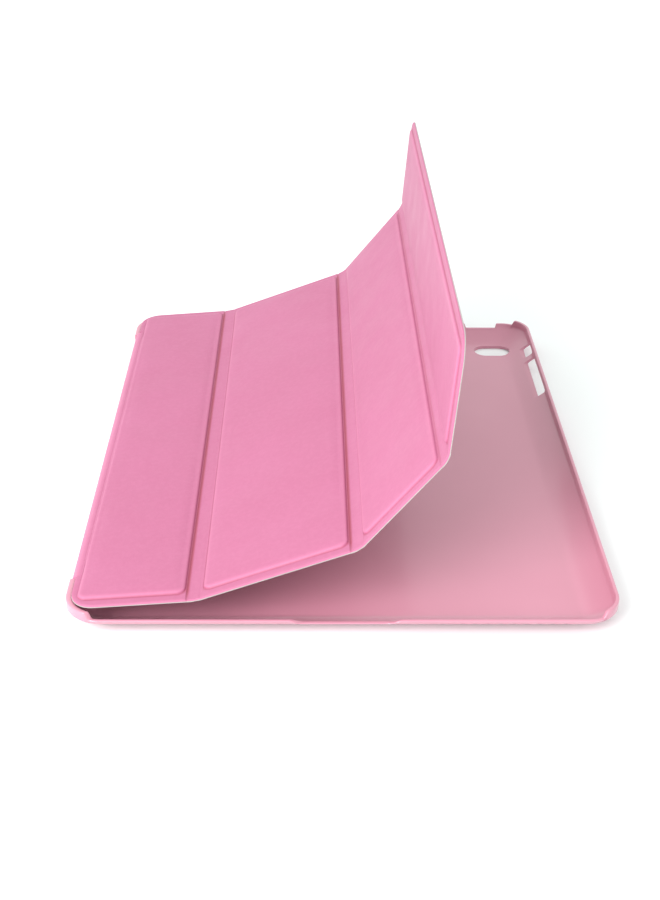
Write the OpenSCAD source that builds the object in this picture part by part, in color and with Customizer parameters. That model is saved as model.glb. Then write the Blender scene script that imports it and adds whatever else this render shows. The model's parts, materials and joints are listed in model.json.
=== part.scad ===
// Folding tablet case: a clip-on hard back shell with a four-panel cover hinged on its left edge.
// Millimetres. +X is right, +Y runs away from the tablet's lower edge, +Z is up, and the
// origin is the centre of the shell's underside. The cover is drawn half open.

/* [Tablet] */
// Width of the tablet that the case holds
tablet_w = 185.7; // [150:0.1:230]
// Length of the tablet
tablet_l = 241.2; // [200:0.1:300]
// Thickness of the tablet
tablet_t = 8.8; // [7:0.1:12]
// Corner radius of the tablet, seen from the front
tablet_r = 10.8; // [9:0.1:14]

/* [Shell] */
// Clearance round the tablet on every side
fit_gap = 0.3; // [0.1:0.05:0.6]
// Thickness of the side walls
wall_t = 1.3; // [1:0.1:2]
// Thickness of the floor
floor_t = 1.5; // [1.3:0.1:2.2]
// Height of the rim above the tablet's glass
rim_up = 0.1; // [0:0.05:0.5]
// Extra room on the left, where the cover's spine passes
spine_room = 0.9; // [0.6:0.1:2]
// Depth by which the two short walls sit below the rim
low_drop = 2.5; // [1:0.1:4]
// Length of the raised lip at each corner of the short walls
lip_len = 6.5; // [4:0.5:12]
// Radius of the swept underside edge
sweep_r = 28; // [22:1:40]
// Angle at which the underside edge leaves the flat back
sweep_a = 14; // [8:1:20]

/* [Openings] */
// Width of the dock opening at its top
dock_w = 38; // [30:1:50]
// Width of the dock opening at its bottom
dock_low_w = 28.5; // [20:0.5:30]
// Depth of the dock opening below the short wall
dock_drop = 1.8; // [1:0.1:3]
// Number of speaker slots
speaker_n = 9; // [4:1:10]
// Distance from one speaker slot to the next
speaker_pitch = 4.4; // [4:0.1:6]
// Width of one speaker slot
speaker_w = 3.2; // [1.5:0.1:3.4]
// Height of the speaker slots
speaker_h = 2; // [1.5:0.1:3]
// Distance from the right side to the middle of the speaker slots
speaker_in = 36; // [30:1:50]
// Length of the volume key opening
volume_len = 36; // [25:1:45]
// Length of the side switch opening
switch_len = 11; // [8:1:15]
// Distance from the far edge to the middle of the side switch opening
switch_in = 26; // [22:1:30]
// Bar of wall left between the two side openings
key_bar = 4; // [3:0.5:8]
// Height of the side key openings
key_h = 4; // [3:0.1:4.5]
// Length of the power key opening
power_len = 16; // [12:1:24]
// Distance from the right side to the middle of the power key opening
power_in = 21; // [18:1:30]
// Radius of the headphone opening
jack_r = 3.6; // [3:0.1:4]
// Distance from the left side to the headphone opening
jack_in = 18; // [16:1:30]
// Width of the camera window
camera_w = 17; // [14:0.5:22]
// Height of the camera window
camera_h = 11; // [9:0.5:13]
// Distance from the right side and the far edge to the middle of the camera window
camera_in = 17; // [16:0.5:24]

/* [Cover] */
// Distance from each end of the case to the end of the cover
cover_in = 2.2; // [0.5:0.1:6]
// Distance from the right side of the case to the closed cover's free edge
free_in = 1; // [0:0.1:4]
// Width of the first panel, from the spine to the first fold
panel_1_w = 43.4; // [30:0.1:60]
// Width of the third panel, from fold to fold
panel_3_w = 43.5; // [30:0.5:60]
// Width of the fourth panel, from the third fold to the free edge
panel_4_w = 41.6; // [30:0.1:60]
// Thickness of the leather
skin_t = 0.6; // [0.4:0.05:0.8]
// Thickness of the stiffening boards
board_t = 0.9; // [0.8:0.05:1.4]
// Thickness of the microfibre lining
lining_t = 0.5; // [0.3:0.05:0.8]
// Width of the soft strip at each fold
strip_w = 5; // [4:0.1:8]
// Flat margin from a panel's board to the cover's edge
edge_w = 3.6; // [2:0.1:6]
// Flat margin between the hinge bend and the first panel's board
hinge_edge_w = 1.2; // [0.8:0.1:4]
// Flat margin between a panel's board and the next fold
crease_w = 1; // [0:0.1:3]
// Distance from the spine's middle to the edge of the first panel's ears, beyond the spine's ends
ear_in = 0.5; // [0.4:0.1:2]
// Radius of the cover's outer corners
cover_r = 9; // [4:0.5:12]
// Radius of the boards' corners
board_r = 3; // [1:0.5:6]
// Air between the shell's rim and the closed cover
cover_gap = 0.35; // [0.2:0.05:1]

/* [Spine] */
// Distance from each end of the case to the end of the spine
spine_in = 21; // [16:1:40]
// Radius of the bends above and below the spine
spine_r = 2.3; // [1.5:0.1:2.6]
// Width of the tab that is glued to the shell
tab_w = 18; // [10:1:30]
// Thickness of the spine's stiffener
stiffener_t = 0.3; // [0.2:0.05:0.5]
// Gap between each end of the stiffener and the edge of the spine
stiffener_in = 0.2; // [0.1:0.05:1]
// Clearance round the spine and in the tab's recess
spine_gap = 0.1; // [0.05:0.05:0.3]

/* [Magnets] */
// Length of one closing magnet
magnet_len = 20; // [10:1:30]
// Width of one closing magnet
magnet_w = 5; // [3:0.5:8]
// Distance from each end of the cover to the middle of the last closing magnet
magnet_in = 29; // [20:1:50]
// Length of the small magnet that wakes the tablet
wake_len = 10; // [6:1:20]
// Distance from the cover's middle to the small magnet
wake_out = 60; // [20:1:90]
// Board left between a magnet or the steel strip and the board's edge
board_wall = 1.5; // [1:0.5:4]
// Number of closing magnets
magnet_n = 3; // [2:1:4]
// Length of the steel strip that the rolled cover clings to
keeper_len = 150; // [80:1:160]
// Width of the steel strip
keeper_w = 8; // [5:0.5:12]

/* [Pose] */
// Angle by which the first panel stands up from the closed position
lift_1 = 4.4; // [0:0.1:30]
// Bend at the first fold
bend_1 = 16.2; // [2:0.1:40]
// Bend at the second fold
bend_2 = 30.6; // [2:0.1:40]
// Bend at the third fold
bend_3 = 34.4; // [2:0.1:40]

/* [Hidden] */
$fn = 96;
cut = 1;
window_cut = 5;

// Shell
bay_x = spine_room / 2;
bay_w = tablet_w + 2 * fit_gap;
bay_l = tablet_l + 2 * fit_gap;
bay_r = tablet_r + fit_gap;
shell_w = bay_w + 2 * wall_t + spine_room;
shell_l = bay_l + 2 * wall_t;
shell_r = bay_r + wall_t;
sweep_start = 0.3;
sweep_fn = 360;
opening_depth = shell_r / 2;
dip_in = 3 * wall_t;
dip_cut = 4 * wall_t;
glass_z = floor_t + spine_gap + tablet_t;
rim_z = glass_z + rim_up;
low_z = rim_z - low_drop;
key_z = low_z - key_h;

// Cover: strips of leather and lining, with their mid-plane at 0 and leather side up
strip_t = skin_t + lining_t;
lining_low = -strip_t / 2;
skin_low = lining_low + lining_t;
half_strip = strip_w / 2;
panel_top = skin_low + board_t + skin_t;
magnet_t = board_t - 0.1;

// Spine: its mid-plane stands at spine_x, between the heights spine_z0 and spine_z1
spine_x = bay_x - tablet_w / 2 - spine_gap - strip_t / 2;
spine_z0 = floor_t + skin_low;
spine_z1 = rim_z + cover_gap + strip_t / 2;
spine_len = shell_l - 2 * spine_in;
tab_depth = skin_t + spine_gap / 2;
tab_len = spine_len - 4 * spine_gap;
ledge_x = spine_x + spine_r;
spine_cut_x = bay_x - bay_w / 2 + shell_r;

// Folds, from the corner above the spine outwards
cover_len = shell_l - 2 * cover_in;
free_x = shell_w / 2 - free_in;
panel_2_w = free_x - spine_x - panel_1_w - panel_3_w - panel_4_w;
head_1 = lift_1;
head_2 = head_1 + bend_1;
head_3 = head_2 + bend_2;
head_4 = head_3 + bend_3;
fold_0 = [spine_x, spine_z1];
fold_1 = fold_0 + panel_1_w * [cos(head_1), sin(head_1)];
fold_2 = fold_1 + panel_2_w * [cos(head_2), sin(head_2)];
fold_3 = fold_2 + panel_3_w * [cos(head_3), sin(head_3)];

// Where the parts of each panel begin and end, from its own fold outwards
hinge_start = spine_r;
stop_1 = panel_1_w - half_strip;
stop_2 = panel_2_w - half_strip;
stop_3 = panel_3_w - half_strip;
field_1_end = stop_1 - crease_w;
field_2_end = stop_2 - crease_w;
field_3_end = stop_3 - crease_w;
field_4_end = panel_4_w - edge_w;

leather_pink = [0.93, 0.57, 0.71];
shell_pink = [0.98, 0.66, 0.72];
lining_grey = [0.84, 0.79, 0.77];
board_grey = [0.45, 0.44, 0.43];
steel_grey = [0.7, 0.7, 0.72];

// Puts a piece, drawn with X across the cover and Z out of its leather side, at a fold
module at_fold(point, heading) {
    translate([point[0], 0, point[1]]) rotate([0, -heading, 0]) children();
}

// A box from one corner to the other
module block(low, high) {
    translate(low) cube(high - low);
}

// A plate with separate corner radii on its low-X and high-X sides
module plate(x0, x1, len, z0, z1, r0, r1) {
    translate([0, 0, z0]) linear_extrude(z1 - z0) difference() {
        translate([x0, -len / 2]) square([x1 - x0, len]);
        if (r0 > 0) {
            corner_waste(x0, -len / 2, 0, r0);
            corner_waste(x0, len / 2, -90, r0);
        }
        if (r1 > 0) {
            corner_waste(x1, -len / 2, 90, r1);
            corner_waste(x1, len / 2, 180, r1);
        }
    }
}

// What is cut off a square corner at (x, y) to round it; turned by 0, the plate lies towards
// +X and +Y of the corner
module corner_waste(x, y, turn, r) {
    translate([x, y]) rotate(turn) difference() {
        translate([-cut, -cut]) square(r + cut);
        translate([r, r]) circle(r);
    }
}

// A length along Y of the section that its children draw in X and Z
module along_y(len) {
    translate([0, len / 2, 0]) rotate([90, 0, 0]) linear_extrude(len) children();
}

// The part of a ring between two radii, from the +X direction through the angle
module sector_band(r_in, r_out, angle) {
    difference() {
        circle(r_out);
        circle(r_in);
        rotate(angle) translate([-2 * r_out, 0]) square([4 * r_out, 2 * r_out]);
        translate([-2 * r_out, -2 * r_out]) square([4 * r_out, 2 * r_out]);
    }
}

// ---- Back shell ----

// Section of a block with a swept lower edge, from its corner axis out to r
module sweep_section(r, z0, z1, arc_r) {
    intersection() {
        translate([0, z0]) square([r, z1 - z0]);
        translate([sweep_start - sweep_r * sin(sweep_a), sweep_r * cos(sweep_a)]) circle(arc_r, $fn = sweep_fn);
    }
}

// A block with rounded corners and a swept lower edge
module swept_block(w, l, r, z0, z1, arc_r) {
    for (s = [-1, 1]) {
        translate([s * (w / 2 - r), 0, 0]) rotate([90, 0, s > 0 ? 0 : 180])
            translate([0, 0, -(l / 2 - r)]) linear_extrude(l - 2 * r) sweep_section(r, z0, z1, arc_r);
        translate([0, s * (l / 2 - r), 0]) rotate([90, 0, s * 90])
            translate([0, 0, -(w / 2 - r)]) linear_extrude(w - 2 * r) sweep_section(r, z0, z1, arc_r);
        for (t = [-1, 1]) {
            translate([s * (w / 2 - r), t * (l / 2 - r), 0])
                rotate([0, 0, s > 0 ? (t > 0 ? 0 : -90) : (t > 0 ? 90 : 180)])
                rotate_extrude(angle = 90) sweep_section(r, z0, z1, arc_r);
        }
    }
    block([r - w / 2, r - l / 2, z0], [w / 2 - r, l / 2 - r, z1]);
}

module shell_body() {
    swept_block(shell_w, shell_l, shell_r, 0, rim_z, sweep_r);
}

module tablet_bay() {
    translate([bay_x, 0, 0]) swept_block(bay_w, bay_l, bay_r, floor_t, rim_z + cut, sweep_r - wall_t);
}

module back_shell() color(shell_pink) difference() {
    union() {
        difference() {
            shell_body();
            tablet_bay();
            block([-shell_w / 2 - cut, -spine_len / 2, -cut], [spine_cut_x, spine_len / 2, rim_z + cut]);
        }
        block([ledge_x, -spine_len / 2, 0], [spine_cut_x, spine_len / 2, floor_t]);
    }
    tab_recess();
    low_walls();
    dock_opening();
    speaker_slots();
    side_keys();
    top_openings();
    camera_window();
}

// Recess in the floor that takes the cover's glued tab
module tab_recess() {
    block([ledge_x - cut, -spine_len / 2 + spine_gap, floor_t - tab_depth],
        [ledge_x + tab_w + spine_gap, spine_len / 2 - spine_gap, floor_t + cut]);
}

// The two short walls drop between their corner lips
module low_walls() {
    for (s = [-1, 1]) {
        block([lip_len - shell_w / 2, s * shell_l / 2 - dip_cut / 2, low_z],
            [shell_w / 2 - lip_len, s * shell_l / 2 + dip_cut / 2, rim_z + cut]);
    }
}

module dock_opening() {
    rotate([90, 0, 0]) translate([bay_x, low_z, shell_l / 2 - dip_in]) linear_extrude(dip_cut)
        polygon([
            [-dock_low_w / 2, -dock_drop],
            [dock_low_w / 2, -dock_drop],
            [dock_w / 2, 0],
            [dock_w / 2, cut],
            [-dock_w / 2, cut],
            [-dock_w / 2, 0]
        ]);
}

module speaker_slots() {
    first = bay_x + bay_w / 2 - speaker_in - (speaker_n - 1) * speaker_pitch / 2;
    for (i = [0 : speaker_n - 1]) {
        translate([first + i * speaker_pitch - speaker_w / 2, -shell_l / 2 - cut, low_z - dock_drop - speaker_h])
            cube([speaker_w, opening_depth + cut, speaker_h]);
    }
}

// Closed slots in the right wall for the volume key and the side switch
module side_keys() {
    switch_y = bay_l / 2 - switch_in;
    volume_y = switch_y - switch_len / 2 - volume_len / 2 - key_bar;
    key_slot(switch_y, switch_len);
    key_slot(volume_y, volume_len);
}

module key_slot(y, len) {
    block([shell_w / 2 - opening_depth, y - len / 2, key_z], [shell_w / 2 + cut, y + len / 2, low_z]);
}

// Openings in the far wall for the power key and the headphone plug
module top_openings() {
    power_x = bay_x + bay_w / 2 - power_in;
    jack_x = bay_x - bay_w / 2 + jack_in;
    block([power_x - power_len / 2, shell_l / 2 - dip_in, low_z - dock_drop],
        [power_x + power_len / 2, shell_l / 2 + cut, low_z + cut]);
    translate([jack_x, shell_l / 2 + cut, low_z]) rotate([90, 0, 0]) cylinder(r = jack_r, h = dip_cut);
}

module camera_window() {
    reach = (camera_w - camera_h) / 2;
    translate([bay_x + bay_w / 2 - camera_in, bay_l / 2 - camera_in, -cut]) {
        for (s = [-1, 1]) translate([s * reach, 0, 0]) cylinder(d = camera_h, h = window_cut + cut);
        translate([-reach, -camera_h / 2, 0]) cube([2 * reach, camera_h, window_cut + cut]);
    }
}

// Leather tab glued into the recess, the cover's only fixing to the shell
module spine_tab() color(leather_pink) {
    block([ledge_x, -tab_len / 2, floor_t - skin_t], [ledge_x + tab_w, tab_len / 2, floor_t]);
}

// ---- Spine and its two bends ----

// Draws in the spine's own directions: X up the spine, Z out of its leather side
module at_spine(z) {
    translate([spine_x, 0, z]) rotate([0, -90, 0]) children();
}

module spine_layer(low, high, end_gap) {
    len = spine_len - 2 * end_gap;
    at_spine(spine_z0 + spine_r) block([end_gap, -len / 2, low],
        [spine_z1 - spine_z0 - 2 * spine_r - end_gap, len / 2, high]);
}

// The quarter bend from the tab up to the spine, leather outside
module hinge_low_skin() color(leather_pink) {
    translate([ledge_x, 0, spine_z0 + spine_r]) along_y(tab_len)
        rotate(180) sector_band(spine_r + skin_low, spine_r + strip_t / 2, 90);
}

module spine_skin() color(leather_pink) {
    spine_layer(skin_low + stiffener_t, strip_t / 2 + stiffener_t, 0);
}

module spine_stiffener() color(board_grey) {
    spine_layer(skin_low, skin_low + stiffener_t, stiffener_in);
}

module spine_lining() color(lining_grey) {
    spine_layer(lining_low, skin_low, 0);
}

// The bend from the spine over to the first panel, leather outside
module hinge_top(low, high) {
    bend = 90 - head_1;
    r = spine_r / tan(bend / 2);
    translate([spine_x + r, 0, spine_z1 - spine_r]) along_y(spine_len)
        rotate(180 - bend) sector_band(r + low, r + high, bend);
}

module hinge_top_skin() color(leather_pink) {
    hinge_top(skin_low, strip_t / 2);
}

module hinge_top_lining() color(lining_grey) {
    hinge_top(lining_low, skin_low);
}

// ---- Panels ----

// Leather over a panel: a flat sheet with a raised field, hollow underneath for the board
module panel_skin(start, stop, r0, r1, field_0, field_1) {
    field_len = cover_len - 2 * edge_w;
    difference() {
        union() {
            plate(start, stop, cover_len, skin_low, skin_low + skin_t, r0, r1);
            plate(field_0, field_1, field_len, skin_low + skin_t, panel_top, board_r, board_r);
        }
        board_shape(field_0, field_1);
    }
}

// The board fills the hollow of the raised field
module board_shape(field_0, field_1) {
    plate(field_0 + skin_t, field_1 - skin_t, cover_len - 2 * edge_w - 2 * skin_t,
        skin_low, skin_low + board_t, board_r - skin_t, board_r - skin_t);
}

module panel_lining(start, stop, r0, r1) {
    plate(start, stop, cover_len, lining_low, skin_low, r0, r1);
}

// The hinge bend's place in the first panel, between the ears
module hinge_notch() {
    block([ear_in - cut, -spine_len / 2 - spine_gap, lining_low - cut],
        [hinge_start, spine_len / 2 + spine_gap, panel_top + cut]);
}

// A soft fold: leather or lining bent at rest between two panels
module fold_layer(point, heading, bend, low, high) {
    r = half_strip / tan(bend / 2);
    at_fold(point, heading) translate([-half_strip, 0, r]) along_y(cover_len)
        rotate(-90) sector_band(r - high, r - low, bend);
}

module panel_1_skin() color(leather_pink) at_fold(fold_0, head_1) difference() {
    panel_skin(ear_in, stop_1, cover_r - ear_in, 0, hinge_start + hinge_edge_w, field_1_end);
    hinge_notch();
}
module panel_1_board() color(board_grey) at_fold(fold_0, head_1) difference() {
    board_shape(hinge_start + hinge_edge_w, field_1_end);
    keeper_shape();
}
module panel_1_lining() color(lining_grey) at_fold(fold_0, head_1) difference() {
    panel_lining(ear_in, stop_1, cover_r - ear_in, 0);
    hinge_notch();
}

module panel_2_skin() color(leather_pink) at_fold(fold_1, head_2)
    panel_skin(half_strip, stop_2, 0, 0, half_strip, field_2_end);
module panel_2_board() color(board_grey) at_fold(fold_1, head_2) board_shape(half_strip, field_2_end);
module panel_2_lining() color(lining_grey) at_fold(fold_1, head_2)
    panel_lining(half_strip, stop_2, 0, 0);

module panel_3_skin() color(leather_pink) at_fold(fold_2, head_3)
    panel_skin(half_strip, stop_3, 0, 0, half_strip, field_3_end);
module panel_3_board() color(board_grey) at_fold(fold_2, head_3) board_shape(half_strip, field_3_end);
module panel_3_lining() color(lining_grey) at_fold(fold_2, head_3)
    panel_lining(half_strip, stop_3, 0, 0);

module panel_4_skin() color(leather_pink) at_fold(fold_3, head_4)
    panel_skin(half_strip, panel_4_w, 0, cover_r, half_strip, field_4_end);
module panel_4_board() color(board_grey) at_fold(fold_3, head_4) difference() {
    board_shape(half_strip, field_4_end);
    closing_shape();
    wake_shape();
}
module panel_4_lining() color(lining_grey) at_fold(fold_3, head_4)
    panel_lining(half_strip, panel_4_w, 0, cover_r);

module fold_1_skin() color(leather_pink) fold_layer(fold_1, head_1, bend_1, skin_low, strip_t / 2);
module fold_1_lining() color(lining_grey) fold_layer(fold_1, head_1, bend_1, lining_low, skin_low);
module fold_2_skin() color(leather_pink) fold_layer(fold_2, head_2, bend_2, skin_low, strip_t / 2);
module fold_2_lining() color(lining_grey) fold_layer(fold_2, head_2, bend_2, lining_low, skin_low);
module fold_3_skin() color(leather_pink) fold_layer(fold_3, head_3, bend_3, skin_low, strip_t / 2);
module fold_3_lining() color(lining_grey) fold_layer(fold_3, head_3, bend_3, lining_low, skin_low);

// ---- Magnets and steel strip, let into the boards ----

// Each lies in the board's hollow, against the lining, and the board is cut to its size
module sunk_bar(x, y, w, len) {
    block([x - w / 2, y - len / 2, skin_low], [x + w / 2, y + len / 2, skin_low + magnet_t]);
}

module closing_shape() {
    step = (cover_len - 2 * magnet_in) / (magnet_n - 1);
    for (i = [0 : magnet_n - 1]) {
        y = (i - (magnet_n - 1) / 2) * step;
        sunk_bar(field_4_end - skin_t - board_wall - magnet_w / 2, y, magnet_w, magnet_len);
    }
}

module wake_shape() {
    sunk_bar(half_strip + skin_t + board_wall + magnet_w / 2, wake_out, magnet_w, wake_len);
}

module keeper_shape() {
    sunk_bar(field_1_end - skin_t - board_wall - keeper_w / 2, 0, keeper_w, keeper_len);
}

module closing_magnets() color(steel_grey) at_fold(fold_3, head_4) closing_shape();
module wake_magnet() color(steel_grey) at_fold(fold_3, head_4) wake_shape();
module stand_keeper() color(steel_grey) at_fold(fold_0, head_1) keeper_shape();

back_shell();
spine_tab();
hinge_low_skin();
spine_skin();
spine_stiffener();
spine_lining();
hinge_top_skin();
hinge_top_lining();
panel_1_skin();
panel_1_board();
panel_1_lining();
stand_keeper();
fold_1_skin();
fold_1_lining();
panel_2_skin();
panel_2_board();
panel_2_lining();
fold_2_skin();
fold_2_lining();
panel_3_skin();
panel_3_board();
panel_3_lining();
fold_3_skin();
fold_3_lining();
panel_4_skin();
panel_4_board();
panel_4_lining();
closing_magnets();
wake_magnet();
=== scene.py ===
"""Looks of the folding tablet case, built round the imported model.

Sizes here are in millimetres, in the model's own frame, and become metres in make_piece(). The cover is laid
out in strip coordinates: s runs across the cover from one fold to the next, y along it, and t out of its
leather side from the sheet's mid-plane.
"""
import json
import math

import bmesh
import bpy
import numpy as np
from mathutils import Matrix, Vector, noise


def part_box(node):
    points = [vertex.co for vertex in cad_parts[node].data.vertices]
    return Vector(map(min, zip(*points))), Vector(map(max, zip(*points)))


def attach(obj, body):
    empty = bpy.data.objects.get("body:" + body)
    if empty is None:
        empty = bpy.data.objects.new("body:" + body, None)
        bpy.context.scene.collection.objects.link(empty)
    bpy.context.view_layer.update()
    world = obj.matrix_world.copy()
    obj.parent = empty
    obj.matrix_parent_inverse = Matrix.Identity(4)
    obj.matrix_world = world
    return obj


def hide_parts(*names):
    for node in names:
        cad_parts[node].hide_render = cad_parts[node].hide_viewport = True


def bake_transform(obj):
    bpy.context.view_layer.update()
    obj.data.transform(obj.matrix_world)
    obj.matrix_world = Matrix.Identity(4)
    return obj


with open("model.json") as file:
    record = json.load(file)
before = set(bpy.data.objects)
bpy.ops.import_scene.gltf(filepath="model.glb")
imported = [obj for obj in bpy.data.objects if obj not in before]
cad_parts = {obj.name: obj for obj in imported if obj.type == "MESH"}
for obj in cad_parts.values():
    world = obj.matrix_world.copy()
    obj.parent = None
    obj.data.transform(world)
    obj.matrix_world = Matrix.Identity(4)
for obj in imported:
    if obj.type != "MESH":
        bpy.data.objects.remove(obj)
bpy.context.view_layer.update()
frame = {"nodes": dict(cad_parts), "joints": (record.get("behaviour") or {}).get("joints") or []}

MM = 0.001

# ---------------------------------------------------------------- sizes

# The shell and its openings, as in the part's source. Only the left lips are longer here.
SHELL_LOW, SHELL_HIGH = (np.array(corner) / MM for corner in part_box("back_shell"))
SHELL_W = SHELL_HIGH[0] - SHELL_LOW[0]
SHELL_L = SHELL_HIGH[1] - SHELL_LOW[1]
RIM_Z = SHELL_HIGH[2]
WALL = 1.3
FLOOR = 1.5
BAY_X = 0.45
BAY_W = SHELL_W - 2 * WALL - 2 * BAY_X
BAY_L = SHELL_L - 2 * WALL
BAY_R = 11.1
SHELL_R = BAY_R + WALL
LOW_DROP = 2.5
LOW_Z = RIM_Z - LOW_DROP
LIP_LEFT = 9.0
LIP_RIGHT = 6.8
DOCK_DROP = 1.8
DOCK_W = 38.0
DOCK_SLOPE = 4.75
LIP_SLOPE = 1.5
DOCK_X0, DOCK_X1 = BAY_X - DOCK_W / 2, BAY_X + DOCK_W / 2
POWER_X, POWER_HALF, POWER_SLOPE = BAY_X + BAY_W / 2 - 21.0, 8.0, 0.9
OPENING_DEPTH = SHELL_R / 2
SLOTS, SLOT_PITCH, SLOT_W, SLOT_H = 9, 4.4, 3.2, 2.0
SLOT_Z = LOW_Z - DOCK_DROP - SLOT_H
FIRST_SLOT_X = BAY_X + BAY_W / 2 - 36.0 - (SLOTS - 1) / 2 * SLOT_PITCH
SWITCH_Y, SWITCH_L = BAY_L / 2 - 26.0, 11.0
VOLUME_L = 36.0
VOLUME_Y = SWITCH_Y - SWITCH_L / 2 - VOLUME_L / 2 - 4.0
SIDE_KEY_H = 4.0
JACK_X, JACK_R = BAY_X - BAY_W / 2 + 18.0, 3.6
CAMERA_X, CAMERA_Y = BAY_X + BAY_W / 2 - 17.0, BAY_L / 2 - 17.0
CAMERA_HALF_W, CAMERA_HALF_H = 8.5, 5.5

# The cover, as in the part's source: heights t, then widths and radii
SKIN_LOW, SKIN_TOP = -0.05, 0.55
LINING_LOW, LINING_TOP = -0.55, -0.05
BOARD_TOP = 0.85
STIFFENER_TOP = 0.25
COVER_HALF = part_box("panel_2_skin")[1].y / MM
SPINE_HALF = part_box("spine_skin")[1].y / MM
HALF_STRIP = 2.5
EDGE_W = 3.6
CREASE_W = 1.0
EAR_IN = 0.5
BOARD_R = 3.0
COVER_R = 9.0
SPINE_R = 2.3
PANEL_4_W = 41.6
LAST_HEADING = 85.6
TAB_W = 18.0
TAB_HALF = SPINE_HALF - 0.2
SPINE_X, SPINE_Z0, SPINE_Z1 = -93.05, 1.45, 11.4
LEDGE_X = SPINE_X + SPINE_R
SPINE_CUT_X = BAY_X - BAY_W / 2 + SHELL_R

# The cover's finer shape. HINGE_EDGE_W is narrower here than in the part's source.
FIELD_TOP = 1.46
FIELD_CROWN = 0.10
FIELD_WAVE = 0.035
HINGE_EDGE_W = 0.35
CREASE_SHIFT = 0.12
SPINE_BULGE = 0.7
LINING_EDGE = LINING_LOW + 0.10  # the lining's face where no board lies above it
LINING_PROUD = 0.14
CAP_INSET = 3.0  # how far inside a field's outline the grid of its middle starts
NEAR = 0.5  # points this close to an edge belong to it

# Fold points and headings, from the joints' own places
joint_at = {j["name"]: np.array(j["pos_m"]) / MM for j in frame["joints"]}
FOLD = [np.array([SPINE_X, SPINE_Z1])] + [joint_at[f"fold_{i}_hinge"][[0, 2]] for i in (1, 2, 3)]
WIDTH = [float(np.linalg.norm(FOLD[i + 1] - FOLD[i])) for i in range(3)] + [PANEL_4_W]
HEADING = [math.atan2(*(FOLD[i + 1] - FOLD[i])[::-1]) for i in range(3)] + [math.radians(LAST_HEADING)]


# ---------------------------------------------------------------- mesh helpers

def smooth_step(x):
    x = np.clip(x, 0.0, 1.0)
    return x * x * (3 - 2 * x)


def hump(x):
    """1 at 0, falling smoothly to 0 at 1 and -1."""
    return np.clip(1 - np.asarray(x, float) ** 2, 0, None) ** 2


def at_fold(point, heading):
    """Turns (s, y, t) rows into (x, y, z) rows, for a strip that leaves a point at a heading."""
    c, s = math.cos(heading), math.sin(heading)

    def place(p):
        p = np.asarray(p, float)
        return np.stack([point[0] + p[..., 0] * c - p[..., 2] * s, p[..., 1],
                         point[1] + p[..., 0] * s + p[..., 2] * c], axis=-1)
    return place


def round_bend(centre, radius, start_angle, turn):
    """Turns (arc, y, t) rows into (x, y, z) rows round a bend. t adds to the radius, arc is in degrees."""
    def place(p):
        p = np.asarray(p, float)
        a = np.radians(start_angle + turn * p[..., 0])
        r = radius + p[..., 2]
        return np.stack([centre[0] + r * np.cos(a), p[..., 1], centre[1] + r * np.sin(a)], axis=-1)
    return place


def make_piece(name, points, faces, marks=None, sharp=34.0, weld=1e-6):
    """A closed mesh object from millimetre points. marks are named values, one for each point."""
    mesh = bpy.data.meshes.new(name)
    mesh.from_pydata((np.asarray(points, float) * MM).tolist(), [], faces)
    for mark, values in (marks or {}).items():
        mesh.attributes.new(mark, "FLOAT", "POINT").data.foreach_set("value", np.asarray(values, np.float32))
    obj = bpy.data.objects.new(name, mesh)
    bpy.context.scene.collection.objects.link(obj)
    finish_mesh(obj, sharp, weld)
    return obj


def finish_mesh(obj, sharp=34.0, weld=1e-6):
    """Welds doubled points, turns faces outwards, and shades smooth but for edges sharper than an angle."""
    bm = bmesh.new()
    bm.from_mesh(obj.data)
    bmesh.ops.remove_doubles(bm, verts=bm.verts, dist=weld)
    bmesh.ops.dissolve_degenerate(bm, edges=bm.edges, dist=weld / 4)
    bmesh.ops.recalc_face_normals(bm, faces=bm.faces)
    for face in bm.faces:
        face.smooth = True
    limit = math.radians(sharp)
    for edge in bm.edges:
        edge.smooth = len(edge.link_faces) == 2 and edge.calc_face_angle(0.0) < limit
    bm.to_mesh(obj.data)
    bm.free()


def ring(low, high, half, r_low, r_high, across, along, k):
    """A rounded rectangle from low to high in s and -half to half in y, anticlockwise from its low corner.
    across and along are the fractions at which its sides are divided, and k the divisions of a corner."""
    r_low, r_high = max(r_low, 0.0), max(r_high, 0.0)

    def side(a, b, fractions):
        f = np.asarray(fractions)[:-1, None]
        return np.array(a) * (1 - f) + np.array(b) * f

    def corner(cx, cy, r, start):
        a = np.radians(start + 90.0 * np.arange(k) / k)
        return np.stack([cx + r * np.cos(a), cy + r * np.sin(a)], axis=-1)

    back = [1 - f for f in across[::-1]]
    down = [1 - f for f in along[::-1]]
    return np.concatenate([
        side((low + r_low, -half), (high - r_high, -half), across),
        corner(high - r_high, r_high - half, r_high, -90),
        side((high, r_high - half), (high, half - r_high), along),
        corner(high - r_high, half - r_high, r_high, 0),
        side((high - r_high, half), (low + r_low, half), back),
        corner(low + r_low, half - r_low, r_low, 90),
        side((low, half - r_low), (low, r_low - half), down),
        corner(low + r_low, r_low - half, r_low, 180),
    ])


def cap(low, high, half, across, along):
    """The points that fill a rectangle, as an array [across, along, 2]."""
    s = low + (high - low) * np.asarray(across)
    y = half * (2 * np.asarray(along) - 1)
    return np.stack(np.meshgrid(s, y, indexing="ij"), axis=-1)


def cap_border(ns, ny, k):
    """For each point of a ring, the index of the point of the cap's border that it joins."""
    def at(i, j):
        return i * (ny + 1) + j
    return ([at(i, 0) for i in range(ns)] + [at(ns, 0)] * k
            + [at(ns, j) for j in range(ny)] + [at(ns, ny)] * k
            + [at(ns - i, ny) for i in range(ns)] + [at(0, ny)] * k
            + [at(0, ny - j) for j in range(ny)] + [at(0, 0)] * k)


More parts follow.
